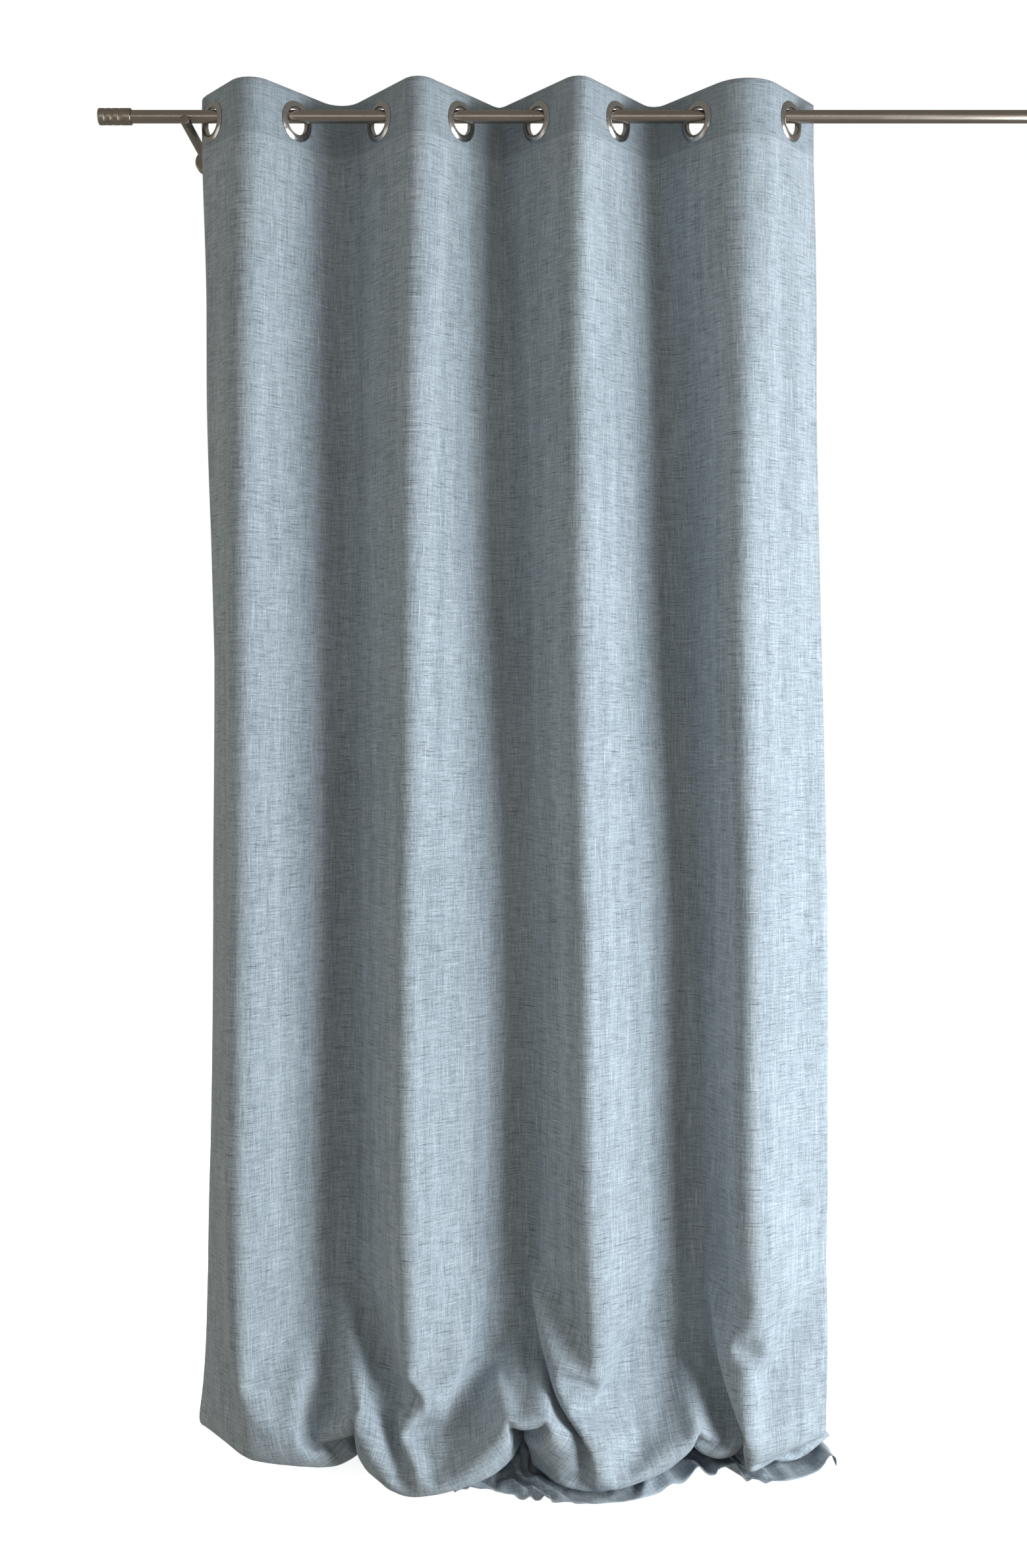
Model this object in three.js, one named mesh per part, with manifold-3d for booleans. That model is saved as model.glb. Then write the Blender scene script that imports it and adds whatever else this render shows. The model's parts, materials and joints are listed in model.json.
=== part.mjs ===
// A fabric curtain panel with eyelets, hung on a metal rod between two wall brackets.
// Millimetres, +Z up, +X along the rod, +Y into the wall.
// The origin is the centre of the left bracket's wall face.
import * as THREE from 'three';
import { mergeVertices } from 'three/addons/utils/BufferGeometryUtils.js';
import Module from 'manifold-3d';

// Rod and its place on the wall
const ROD_RADIUS = 10;
const ROD_WALL = 1.2;
const ROD_TO_WALL = 180;
const ROD_ABOVE_ARM = 10.5;
const ROD_ABOVE_FLOOR = 2110;
const BRACKET_SPACING = 1448;
const TUBE_PAST_BRACKET = 126;

// Finials
const FINIAL_RADIUS = 12.75;
const FINIAL_LENGTH = 51;
const FINIAL_SOCKET_DEPTH = 41;
const FINIAL_EDGE = 1.8;
const FINIAL_GROOVE_DEPTH = 0.6;
const FINIAL_GROOVE_HALF_WIDTH = 0.9;
const FINIAL_GROOVES = [11, 21, 33];

// Brackets
const ARM_RADIUS = 7.5;
const ARM_PAST_ROD = 16;
const ARM_EDGE = 1;
const SPIGOT_RADIUS = 4;
const SPIGOT_REACH = 6.3;
const ROSE_RADIUS = 20;
const ROSE_DEPTH = 12;
const ROSE_SIDE = 1.6;
const ROSE_FRONT = 2;
const ROSE_EDGE = 1.5;
const NUT_RADIUS = 7;
const NUT_THICKNESS = 3;
const PLATE_RADIUS = 18;
const PLATE_THICKNESS = 4;
const WALL_SCREW_OFFSET = 11.5;
const WALL_SCREW_RADIUS = 2;
const WALL_SCREW_HEAD_RADIUS = 3.8;
const WALL_SCREW_HEAD_HEIGHT = 2;

// Small locking screws
const GRUB_RADIUS = 1.3;
const GRUB_LENGTH = 2;
const LOCK_SCREW_RADIUS = 2.4;
const LOCK_SCREW_LENGTH = 9;
const HEX_KEY_RADIUS = 1.2;
const HEX_KEY_DEPTH = 1.5;

// Eyelets, in two halves clipped together through the header
const EYELET_BORE = 20.5;
const EYELET_RIM = 31;
const EYELET_BARREL = 1.2;
const EYELET_CROWN = 2.8;
const EYELET_BACK_THICKNESS = 2;
const EYELET_BELOW_ROD = 8;
const EYELETS_FROM_LEFT_BRACKET = [41, 171, 301, 427, 546, 671, 795, 940];

// Cloth: a 1400 mm wide panel, hanging in eight flanks with a fold between each pair
const CLOTH = 1.2;
const TAPE = 0.6;
const TOP_ABOVE_EYELET = 47;
const HEADER_HEIGHT = 88;
const TAPE_MARGIN = 4;
const LEADING_MARGIN = 66;
const BRACKET_SIDE_MARGIN = 42;
const FLANK_ANGLE = THREE.MathUtils.degToRad(50);
const FOLD_ANGLE = THREE.MathUtils.degToRad(52);
const STACKED_TURN = THREE.MathUtils.degToRad(24);
const FOLD_CLEARANCE = 8;

// Cloth that lies on the floor in front of each forward fold
const FOOT_WIDTH = 20;
const FOOT_HEIGHT = 24;
const FOOT_FROM_FOLD = 4;
const FOOT_REACH = 104;

// Spacing between touching pieces and round-section fineness
const GAP = 0.3;
const ROUND = 24;
const SMALL_ROUND = 12;
const HEX = 6;

const FLOOR = ROD_ABOVE_ARM - ROD_ABOVE_FLOOR;
const EYELET_Z = ROD_ABOVE_ARM - EYELET_BELOW_ROD;
const STACK_HALF = CLOTH + GAP + TAPE / 2;
const FLANGE = STACK_HALF + GAP;
const CLOTH_HOLE = EYELET_BORE + EYELET_BARREL + 2 * GAP;

const wasm = await Module();
wasm.setup();

const brushedNickel = { color: 0x8b847a, roughness: 0.36, metalness: 1 };
const finishes = {
  rod: brushedNickel,
  finial: { ...brushedNickel, color: 0x847c70, roughness: 0.42 },
  bracket: { ...brushedNickel, color: 0x7d766c, roughness: 0.45 },
  eyelet: { color: 0xa9a8a6, roughness: 0.3, metalness: 1 },
  screw: { color: 0x6f6c68, roughness: 0.4, metalness: 1 },
  cloth: { color: 0x9fadb2, roughness: 0.95, metalness: 0 },
  tape: { color: 0xe8e6df, roughness: 0.9, metalness: 0 },
};

const curtain = new THREE.Group();

function addPiece(name, geometry, finish, parent = curtain) {
  const mesh = new THREE.Mesh(geometry, new THREE.MeshStandardMaterial(finishes[finish]));
  mesh.name = name;
  parent.add(mesh);
  return mesh;
}

// Closed geometry to a manifold solid and back

function solid(geometry) {
  const bare = geometry.clone();
  bare.deleteAttribute('normal');
  bare.deleteAttribute('uv');
  const merged = mergeVertices(bare, 1e-4);
  return new wasm.Manifold(new wasm.Mesh({
    numProp: 3,
    vertProperties: new Float32Array(merged.attributes.position.array),
    triVerts: new Uint32Array(merged.index.array),
  }));
}

function geometryOf(manifold) {
  const mesh = manifold.getMesh();
  const geometry = new THREE.BufferGeometry();
  geometry.setAttribute('position', new THREE.BufferAttribute(new Float32Array(mesh.vertProperties), 3));
  geometry.setIndex(new THREE.BufferAttribute(new Uint32Array(mesh.triVerts), 1));
  geometry.computeVertexNormals();
  return geometry;
}

// A turned solid about the Y axis, from [radius, height] pairs that run anticlockwise
function turned(points, segments = ROUND) {
  return new THREE.LatheGeometry(points.map(([r, h]) => new THREE.Vector2(r, h)), segments);
}

function closedRing(points, segments = ROUND) {
  return turned([...points, points[0]], segments);
}

function rod(radius, length, segments = SMALL_ROUND) {
  return new THREE.CylinderGeometry(radius, radius, length, segments);
}

// Turns a shape made about the Y axis to lie along X, with its start to the left
const alongX = (geometry) => geometry.rotateZ(-Math.PI / 2);
// Turns a shape made about the Y axis so that its start is at the wall and it points into the room
const intoRoom = (geometry) => geometry.rotateX(Math.PI);
const alongZ = (geometry) => geometry.rotateX(Math.PI / 2);

// Rod tube: open at both ends, gripped by the finials

function addRod() {
  const length = BRACKET_SPACING + 2 * TUBE_PAST_BRACKET;
  const inner = ROD_RADIUS - ROD_WALL;
  const tube = alongX(closedRing([[inner, 0], [ROD_RADIUS, 0], [ROD_RADIUS, length], [inner, length]]));
  addPiece('rod_tube', tube, 'rod').position.set(-TUBE_PAST_BRACKET, -ROD_TO_WALL, ROD_ABOVE_ARM);
}

// Finial: a grooved cap with a blind socket, locked by a grub screw from below

function finialBody() {
  const socket = ROD_RADIUS + GAP;
  const outline = [[0, 0], [FINIAL_RADIUS - FINIAL_EDGE, 0], [FINIAL_RADIUS, FINIAL_EDGE]];
  for (const at of FINIAL_GROOVES) {
    outline.push([FINIAL_RADIUS, at - FINIAL_GROOVE_HALF_WIDTH]);
    outline.push([FINIAL_RADIUS - FINIAL_GROOVE_DEPTH, at]);
    outline.push([FINIAL_RADIUS, at + FINIAL_GROOVE_HALF_WIDTH]);
  }
  outline.push([FINIAL_RADIUS, FINIAL_LENGTH - FINIAL_EDGE]);
  outline.push([FINIAL_RADIUS - FINIAL_EDGE / 2, FINIAL_LENGTH]);
  outline.push([socket, FINIAL_LENGTH]);
  outline.push([socket, FINIAL_LENGTH - FINIAL_SOCKET_DEPTH]);
  outline.push([0, FINIAL_LENGTH - FINIAL_SOCKET_DEPTH]);
  return solid(alongX(turned(outline)));
}

// Hex-socket screw standing along Z, with its key hole at the bottom
function keyedScrew(radius, length) {
  const shank = solid(alongZ(rod(radius, length)));
  const key = alongZ(rod(Math.min(HEX_KEY_RADIUS, radius * 0.6), 2 * HEX_KEY_DEPTH, HEX));
  return geometryOf(shank.subtract(solid(key.translate(0, 0, -length / 2))));
}

function addFinial(side, endX, facing) {
  const screwAt = FINIAL_LENGTH - 7;
  const holder = new THREE.Group();
  holder.position.set(endX, -ROD_TO_WALL, ROD_ABOVE_ARM);
  holder.rotation.z = facing;
  curtain.add(holder);
  const wallMiddle = (ROD_RADIUS + GAP + FINIAL_RADIUS) / 2;
  const hole = alongZ(rod(GRUB_RADIUS + GAP, 2 * (FINIAL_RADIUS - ROD_RADIUS)));
  const body = finialBody().subtract(solid(hole.translate(screwAt, 0, -wallMiddle)));
  addPiece(`finial_${side}`, geometryOf(body), 'finial', holder);
  const screw = keyedScrew(GRUB_RADIUS, GRUB_LENGTH);
  addPiece(`finial_grub_screw_${side}`, screw, 'screw', holder).position.set(screwAt, 0, -wallMiddle);
}

// Bracket: a round arm with a saddle for the rod, a rose, and what is inside the rose

function armBody() {
  const reach = ROD_TO_WALL + ARM_PAST_ROD;
  const shoulder = ROSE_DEPTH + GAP;
  const bar = solid(intoRoom(turned([
    [0, SPIGOT_REACH],
    [SPIGOT_RADIUS, SPIGOT_REACH],
    [SPIGOT_RADIUS, shoulder],
    [ARM_RADIUS, shoulder],
    [ARM_RADIUS, reach - ARM_EDGE],
    [ARM_RADIUS - ARM_EDGE, reach],
    [0, reach],
  ])));
  const saddle = alongX(rod(ROD_RADIUS + GAP, 4 * ARM_RADIUS, ROUND));
  const screwHole = alongZ(rod(LOCK_SCREW_RADIUS + GAP, 4 * ARM_RADIUS));
  return bar
    .subtract(solid(saddle.translate(0, -ROD_TO_WALL, ROD_ABOVE_ARM)))
    .subtract(solid(screwHole.translate(0, -ROD_TO_WALL, -ARM_RADIUS)));
}

function roseBody() {
  const inner = ROSE_RADIUS - ROSE_SIDE;
  const cup = solid(intoRoom(closedRing([
    [inner, 0],
    [ROSE_RADIUS, 0],
    [ROSE_RADIUS, ROSE_DEPTH - ROSE_EDGE],
    [ROSE_RADIUS - ROSE_EDGE, ROSE_DEPTH],
    [SPIGOT_RADIUS + GAP, ROSE_DEPTH],
    [SPIGOT_RADIUS + GAP, ROSE_DEPTH - ROSE_FRONT],
    [inner, ROSE_DEPTH - ROSE_FRONT],
  ])));
  const grubHole = alongZ(rod(GRUB_RADIUS + GAP, 4 * ROSE_SIDE));
  return cup.subtract(solid(grubHole.translate(0, -PLATE_THICKNESS / 2 - GAP, -ROSE_RADIUS)));
}

function plateBody() {
  let plate = solid(rod(PLATE_RADIUS, PLATE_THICKNESS, ROUND));
  for (const up of [-1, 1]) {
    const hole = rod(WALL_SCREW_RADIUS + GAP, 2 * PLATE_THICKNESS);
    plate = plate.subtract(solid(hole.translate(0, 0, up * WALL_SCREW_OFFSET)));
  }
  return plate;
}

function nutBody() {
  const bore = rod(SPIGOT_RADIUS + GAP, 2 * NUT_THICKNESS, SMALL_ROUND);
  return solid(rod(NUT_RADIUS, NUT_THICKNESS, HEX)).subtract(solid(bore));
}

// Countersunk wall screws, drawn as far as the wall face
function wallScrew() {
  const head = PLATE_THICKNESS + GAP;
  return intoRoom(turned([
    [0, GAP],
    [WALL_SCREW_RADIUS, GAP],
    [WALL_SCREW_RADIUS, head],
    [WALL_SCREW_HEAD_RADIUS, head],
    [WALL_SCREW_HEAD_RADIUS * 0.7, head + WALL_SCREW_HEAD_HEIGHT],
    [0, head + WALL_SCREW_HEAD_HEIGHT],
  ], SMALL_ROUND));
}

function addBracket(side, x) {
  const holder = new THREE.Group();
  holder.position.x = x;
  curtain.add(holder);
  addPiece(`bracket_arm_${side}`, geometryOf(armBody()), 'bracket', holder);
  addPiece(`bracket_rose_${side}`, geometryOf(roseBody()), 'bracket', holder);
  addPiece(`wall_plate_${side}`, geometryOf(plateBody()), 'screw', holder)
    .position.y = -PLATE_THICKNESS / 2;
  addPiece(`arm_nut_${side}`, geometryOf(nutBody()), 'screw', holder)
    .position.y = -(ROSE_DEPTH - ROSE_FRONT - GAP - NUT_THICKNESS / 2);
  addPiece(`wall_screw_${side}_upper`, wallScrew(), 'screw', holder).position.z = WALL_SCREW_OFFSET;
  addPiece(`wall_screw_${side}_lower`, wallScrew(), 'screw', holder).position.z = -WALL_SCREW_OFFSET;
  const lock = keyedScrew(LOCK_SCREW_RADIUS, LOCK_SCREW_LENGTH);
  const rodUnderside = ROD_ABOVE_ARM - ROD_RADIUS;
  addPiece(`rod_lock_screw_${side}`, lock, 'screw', holder)
    .position.set(0, -ROD_TO_WALL, rodUnderside - GAP - LOCK_SCREW_LENGTH / 2);
  const grub = keyedScrew(GRUB_RADIUS, ROSE_SIDE);
  addPiece(`rose_grub_screw_${side}`, grub, 'screw', holder)
    .position.set(0, -PLATE_THICKNESS / 2 - GAP, -(ROSE_RADIUS - ROSE_SIDE / 2));
}

// Eyelet halves: the front flange carries the barrel, the back ring clips on it

function eyeletFront() {
  const barrel = EYELET_BORE + EYELET_BARREL;
  const barrelEnd = FLANGE + EYELET_BACK_THICKNESS;
  return closedRing([
    [EYELET_BORE, -FLANGE - EYELET_CROWN * 0.35],
    [EYELET_BORE + 2, -FLANGE - EYELET_CROWN],
    [EYELET_RIM - 3, -FLANGE - EYELET_CROWN * 0.85],
    [EYELET_RIM, -FLANGE],
    [barrel, -FLANGE],
    [barrel, barrelEnd],
    [EYELET_BORE, barrelEnd],
  ]);
}

function eyeletBack() {
  const inner = EYELET_BORE + EYELET_BARREL + GAP;
  return closedRing([
    [inner, FLANGE],
    [EYELET_RIM, FLANGE],
    [EYELET_RIM - 2, FLANGE + EYELET_BACK_THICKNESS],
    [inner, FLANGE + EYELET_BACK_THICKNESS],
  ]);
}

// A flank is the straight run of cloth through one eyelet. Its own frame has X along the cloth and
// Y through it. The top is turned over to the back round the stiff header tape.

function flankCloth(left, right) {
  const top = TOP_ABOVE_EYELET;
  const floor = FLOOR - EYELET_Z;
  const inner = STACK_HALF - CLOTH;
  const outline = new THREE.Shape([
    [-STACK_HALF, floor],
    [-inner, floor],
    [-inner, top - CLOTH],
    [inner, top - CLOTH],
    [inner, top - HEADER_HEIGHT],
    [STACK_HALF, top - HEADER_HEIGHT],
    [STACK_HALF, top],
    [-STACK_HALF, top],
  ].map(([y, z]) => new THREE.Vector2(y, z)));
  const cloth = new THREE.ExtrudeGeometry(outline, { depth: right - left, bevelEnabled: false });
  const yzx = new THREE.Matrix4().makeBasis(
    new THREE.Vector3(0, 1, 0),
    new THREE.Vector3(0, 0, 1),
    new THREE.Vector3(1, 0, 0),
  );
  cloth.applyMatrix4(yzx);
  return solid(cloth.translate(left, 0, 0));
}

const eyeletHole = () => solid(rod(CLOTH_HOLE, 4 * FLANGE, ROUND));

function headerTape(left, right) {
  const top = TOP_ABOVE_EYELET - CLOTH - GAP;
  const bottom = TOP_ABOVE_EYELET - HEADER_HEIGHT + TAPE_MARGIN;
  const tape = new THREE.BoxGeometry(right - left, TAPE, top - bottom);
  return solid(tape.translate((left + right) / 2, 0, (top + bottom) / 2)).subtract(eyeletHole());
}

// The cloth on the floor runs from the flank's forward end straight into the room. Behind the fold
// its side leans away from the neighbour's, by the angle that each flank turns when stacked.
function floorFoot(halfSpacing, forward, turn) {
  const foldDepth = halfSpacing * Math.tan(FOLD_ANGLE);
  const near = FOOT_FROM_FOLD;
  const far = FOOT_FROM_FOLD + FOOT_WIDTH;
  const flankDepth = (fromFold) => (halfSpacing - fromFold) * Math.tan(FLANK_ANGLE);
  const lean = Math.tan(STACKED_TURN);
  const slope = Math.tan(FLANK_ANGLE);
  const meet = (near + lean * (foldDepth - halfSpacing * slope)) / (1 - lean * slope);
  const plan = new THREE.Shape([
    [near, foldDepth],
    [near, FOOT_REACH],
    [far, FOOT_REACH],
    [far, flankDepth(far)],
    [meet, flankDepth(meet)],
  ].map(([fromFold, depth]) => new THREE.Vector2(forward * (halfSpacing - fromFold), -depth)));
  const foot = new THREE.ExtrudeGeometry(plan, { depth: FOOT_HEIGHT, bevelEnabled: false });
  return solid(foot.translate(0, 0, FLOOR - EYELET_Z).rotateZ(-turn));
}

// How far along the cloth a flank reaches towards a fold without meeting its neighbour when stacked
function reachToFold(halfSpacing) {
  const stackedHalf = halfSpacing * Math.cos(FOLD_ANGLE + STACKED_TURN) / Math.cos(FOLD_ANGLE);
  return stackedHalf / Math.cos(FLANK_ANGLE + STACKED_TURN) - FOLD_CLEARANCE;
}

function addFlank(index) {
  const xs = EYELETS_FROM_LEFT_BRACKET;
  const name = index + 1;
  const forward = index % 2 === 0 ? 1 : -1;
  const turn = -forward * FLANK_ANGLE;
  const leftHalf = index > 0 ? (xs[index] - xs[index - 1]) / 2 : null;
  const rightHalf = index < xs.length - 1 ? (xs[index + 1] - xs[index]) / 2 : null;
  const left = leftHalf ? -reachToFold(leftHalf) : -BRACKET_SIDE_MARGIN;
  const right = rightHalf ? reachToFold(rightHalf) : LEADING_MARGIN;
  const holder = new THREE.Group();
  holder.position.set(xs[index], -ROD_TO_WALL, EYELET_Z);
  holder.rotation.z = turn;
  curtain.add(holder);
  const foot = floorFoot(forward > 0 ? rightHalf : leftHalf, forward, turn);
  const cloth = flankCloth(left, right).add(foot).subtract(eyeletHole());
  addPiece(`panel_flank_${name}`, geometryOf(cloth), 'cloth', holder);
  addPiece(`header_tape_${name}`, geometryOf(headerTape(left + 1, right - 1)), 'tape', holder);
  addPiece(`eyelet_${name}_front`, eyeletFront(), 'eyelet', holder);
  addPiece(`eyelet_${name}_back`, eyeletBack(), 'eyelet', holder);
}

addRod();
addFinial('left', -TUBE_PAST_BRACKET - FINIAL_LENGTH + FINIAL_SOCKET_DEPTH - GAP, 0);
addFinial('right', BRACKET_SPACING + TUBE_PAST_BRACKET + FINIAL_LENGTH - FINIAL_SOCKET_DEPTH + GAP, Math.PI);
addBracket('left', 0);
addBracket('right', BRACKET_SPACING);
EYELETS_FROM_LEFT_BRACKET.forEach((_, index) => addFlank(index));

export default curtain;
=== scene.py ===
import json
import math
import bpy
import bmesh
import numpy as np
from mathutils import Matrix, Vector


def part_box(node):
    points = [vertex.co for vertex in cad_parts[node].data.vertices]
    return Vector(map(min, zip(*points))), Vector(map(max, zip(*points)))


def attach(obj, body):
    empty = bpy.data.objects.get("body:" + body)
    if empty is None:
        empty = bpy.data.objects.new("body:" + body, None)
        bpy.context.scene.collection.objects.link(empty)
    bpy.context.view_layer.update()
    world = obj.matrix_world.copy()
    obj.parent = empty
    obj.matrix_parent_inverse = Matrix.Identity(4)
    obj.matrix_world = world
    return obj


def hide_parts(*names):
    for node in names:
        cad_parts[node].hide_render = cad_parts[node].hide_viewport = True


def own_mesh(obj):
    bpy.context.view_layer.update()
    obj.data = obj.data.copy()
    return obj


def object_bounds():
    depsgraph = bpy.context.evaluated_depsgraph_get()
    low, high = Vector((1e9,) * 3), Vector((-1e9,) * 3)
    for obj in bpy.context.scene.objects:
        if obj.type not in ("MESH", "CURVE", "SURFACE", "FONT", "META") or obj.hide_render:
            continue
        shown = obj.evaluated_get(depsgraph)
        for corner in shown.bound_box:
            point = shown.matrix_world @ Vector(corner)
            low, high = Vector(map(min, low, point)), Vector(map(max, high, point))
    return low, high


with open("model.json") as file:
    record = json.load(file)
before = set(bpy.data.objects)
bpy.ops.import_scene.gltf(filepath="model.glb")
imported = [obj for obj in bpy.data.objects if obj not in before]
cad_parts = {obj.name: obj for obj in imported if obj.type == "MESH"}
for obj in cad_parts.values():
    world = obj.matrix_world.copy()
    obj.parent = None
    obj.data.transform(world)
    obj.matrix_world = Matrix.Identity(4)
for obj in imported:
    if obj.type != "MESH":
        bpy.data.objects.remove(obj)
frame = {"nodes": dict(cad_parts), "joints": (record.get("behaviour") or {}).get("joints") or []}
cad_low, cad_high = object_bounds()

# ------------------------------------------------------------ places, read from the frame

EYELETS = 8
# Each flank's angle to the rod at rest, as the CAD model has it.
TILT = math.radians(50)
JOINTS = {joint["name"]: joint for joint in frame["joints"]}


def joint_place(name):
    return Vector(JOINTS[name]["pos_m"])


ROD_LOW, ROD_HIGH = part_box("rod_tube")
ROD_RADIUS = (ROD_HIGH[2] - ROD_LOW[2]) / 2
ROD_Y = (ROD_HIGH[1] + ROD_LOW[1]) / 2
ROD_Z = (ROD_HIGH[2] + ROD_LOW[2]) / 2
EYELET_Z = joint_place("draw")[2]
FLOOR_Z = cad_low[2]
CLOTH_TOP_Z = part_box("panel_flank_1")[1][2]


def eyelet_places():
    """The first eyelet is on the draw hinge, and each fold hinge is midway between two eyelets."""
    xs = [joint_place("draw")[0]]
    for number in range(1, EYELETS):
        middle = joint_place(f"fold_{number}_to_{number + 1}")[0]
        xs.append(2 * middle - xs[-1])
    return np.array(xs)


EYELET_X = eyelet_places()

# ------------------------------------------------------------ the cloth's cut and its folds

CLOTH_WIDTH = 1.40
CLOTH_LENGTH = 2.40
HEADER = 0.088
SIDE_MARGIN = 0.07
EYELET_PITCH = (CLOTH_WIDTH - 2 * SIDE_MARGIN) / (EYELETS - 1)
EYELET_BELOW_TOP = CLOTH_TOP_Z - EYELET_Z
# The header's two layers lie this far to either side of the middle between them.
LAYER_OFFSET = 0.0012
HEM_THICKNESS = 0.0012
ONE_LAYER = 0.45
TAPE_THICKNESS = 0.0005
CELL = 0.01
# Distances from an eyelet's centre on the grid: of the vertices moved to the edge of its hole, of
# those moved to a circle outside it, and of the cells left out.
TO_EDGE = (0.012, 0.0228)
TO_CIRCLE = 0.0285
LEFT_OUT = 0.017
# The holes are wider than high, because the squash narrows them as the panel is drawn.
HOLE_HALF_WIDTH = 0.0275
HOLE_HALF_HEIGHT = 0.0245
ROUND_HOLE = 0.0300

# Fold positions by height. Each row is: height of the row, then how far each fold has moved along
# the rod from its place at the header, in metres.
FOLD_DRIFT = np.array([
    [-0.040, 0.000, 0.000, 0.000, 0.000, 0.000, 0.000, 0.000],
    [-0.120, -0.004, 0.003, -0.002, 0.002, -0.002, 0.006, -0.006],
    [-0.270, -0.008, 0.006, -0.006, 0.008, -0.003, 0.018, -0.011],
    [-0.830, -0.018, 0.009, -0.017, 0.026, -0.001, 0.046, -0.013],
    [-1.240, -0.021, 0.011, -0.024, 0.042, 0.005, 0.060, -0.007],
    [-1.650, -0.021, 0.010, -0.020, 0.046, 0.010, 0.070, -0.003],
    [-1.910, -0.018, 0.004, -0.016, 0.040, 0.021, 0.072, 0.010],
    [-2.100, -0.018, 0.000, -0.016, 0.036, 0.024, 0.070, 0.012],
])
FOLD_RADIUS_LOW = np.array([0.024, 0.034, 0.022, 0.036, 0.022, 0.034, 0.026])
FOLD_DEPTH_LOW = 0.07
HEADER_RADII = (0.006, 0.066)
EDGE_RADII = (0.04, 0.03)
# The header keeps its shape above the first height. Over the next length down, it turns into the
# hanging folds.
HEADER_FOOT = -0.04
HEADER_FADE = 0.5
DEPTH_SHARES = (0.4, 1.8)
DEPTH_STEPS = 24
# The side edges and the bend before each: height, edge x and depth, bend x and depth, both sides.
SIDE_EDGES = np.array([
    [-0.040, 0.018, 0.064, 0.0185, 0.0270, 0.960, 0.0237, 0.985, 0.054],
    [-0.270, 0.021, 0.068, 0.028, 0.0250, 0.962, 0.0200, 0.988, 0.048],
    [-0.830, 0.028, 0.082, 0.040, 0.0250, 0.962, 0.0100, 0.994, 0.034],
    [-1.240, 0.027, 0.084, 0.040, 0.0250, 0.966, 0.0000, 1.002, 0.020],
    [-1.650, 0.022, 0.082, 0.036, 0.0250, 0.966, 0.0000, 1.003, 0.018],
    [-2.100, 0.018, 0.080, 0.034, 0.0250, 0.960, 0.0000, 0.994, 0.026],
])


def by_height(table, z):
    heights = table[::-1, 0]
    columns = range(1, table.shape[1])
    return np.array([np.interp(z, heights, table[::-1, column]) for column in columns])


def header_radii():
    """Bend radius of each fold so that the eyelets are evenly spaced along the cloth."""
    spacing = np.diff(EYELET_X)
    straight = spacing / math.cos(TILT)
    per_radius = 2 * math.tan(TILT) - 2 * TILT
    return np.clip((straight - EYELET_PITCH) / per_radius, *HEADER_RADII)


def fillet_line(points, radii, arc_steps=14):
    """Polyline through points with its inner corners rounded."""
    line = [points[0]]
    for before, corner, after, radius in zip(points[:-2], points[1:-1], points[2:], radii):
        back, ahead = before - corner, after - corner
        back_length, ahead_length = np.linalg.norm(back), np.linalg.norm(ahead)
        back, ahead = back / back_length, ahead / ahead_length
        turn = math.pi - math.acos(float(np.clip(back @ ahead, -1, 1)))
        if turn < 1e-3:
            line.append(corner)
            continue
        reach = min(radius * math.tan(turn / 2), 0.49 * back_length, 0.49 * ahead_length)
        radius = reach / math.tan(turn / 2)
        bisector = (back + ahead) / np.linalg.norm(back + ahead)
        centre = corner + bisector * radius / math.cos(turn / 2)
        start, end = corner + back * reach - centre, corner + ahead * reach - centre
        side = math.copysign(1, start[0] * end[1] - start[1] * end[0])
        for step in range(arc_steps + 1):
            angle = side * turn * step / arc_steps
            cos, sin = math.cos(angle), math.sin(angle)
            line.append(centre + np.array([[cos, -sin], [sin, cos]]) @ start)
    line.append(points[-1])
    return np.array(line)


def line_length(line):
    return float(np.linalg.norm(np.diff(line, axis=0), axis=1).sum())


FOLD_X = (EYELET_X[:-1] + EYELET_X[1:]) / 2
FOLD_DEPTH = np.diff(EYELET_X) / 2 * math.tan(TILT) * np.array([-1, 1, -1, 1, -1, 1, -1])
FOLD_RADIUS_TOP = header_radii()


def smooth_step(t):
    t = min(max(t, 0), 1)
    return t * t * (3 - 2 * t)


def plan_row(z):
    """The cloth's line in plan at height z, as x and depth behind the rod.

    The folds are made as deep as the cloth's width needs.
    """
    drift = by_height(FOLD_DRIFT, z)
    edge = by_height(SIDE_EDGES, z)
    low = smooth_step((HEADER_FOOT - z) / HEADER_FADE)
    radii = FOLD_RADIUS_TOP * (1 - low) + FOLD_RADIUS_LOW * low
    radii = np.concatenate([EDGE_RADII[:1], radii, EDGE_RADII[1:]])

    def line_for(depth_share):
        hanging = low * depth_share * np.sign(FOLD_DEPTH) * FOLD_DEPTH_LOW
        folds = np.column_stack([FOLD_X + drift, FOLD_DEPTH * (1 - low) + hanging])
        left = np.array([[edge[0], edge[1]], [edge[2], edge[3]]])
        right = np.array([[edge[4], edge[5]], [edge[6], edge[7]]])
        return fillet_line(np.vstack([left, folds, right]), radii)

    shallow, deep = DEPTH_SHARES
    for _ in range(DEPTH_STEPS):
        middle = (shallow + deep) / 2
        if line_length(line_for(middle)) < CLOTH_WIDTH:
            shallow = middle
        else:
            deep = middle
    return line_for((shallow + deep) / 2)


def lengths_along(line):
    return np.concatenate([[0], np.cumsum(np.linalg.norm(np.diff(line, axis=0), axis=1))])


def eyelet_shifts(line):
    """How far each eyelet's place on the header line is from an even spread of the cloth."""
    lengths = lengths_along(line)
    crossings = []
    for a in range(len(line) - 1):
        y0, y1 = line[a, 1], line[a + 1, 1]
        if y0 * y1 < 0:
            crossings.append(lengths[a] + (lengths[a + 1] - lengths[a]) * y0 / (y0 - y1))
    even = eyelet_across(np.arange(EYELETS)) / CLOTH_WIDTH * lengths[-1]
    return np.concatenate([[0], np.array(crossings[:EYELETS]) - even, [0]])


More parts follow.
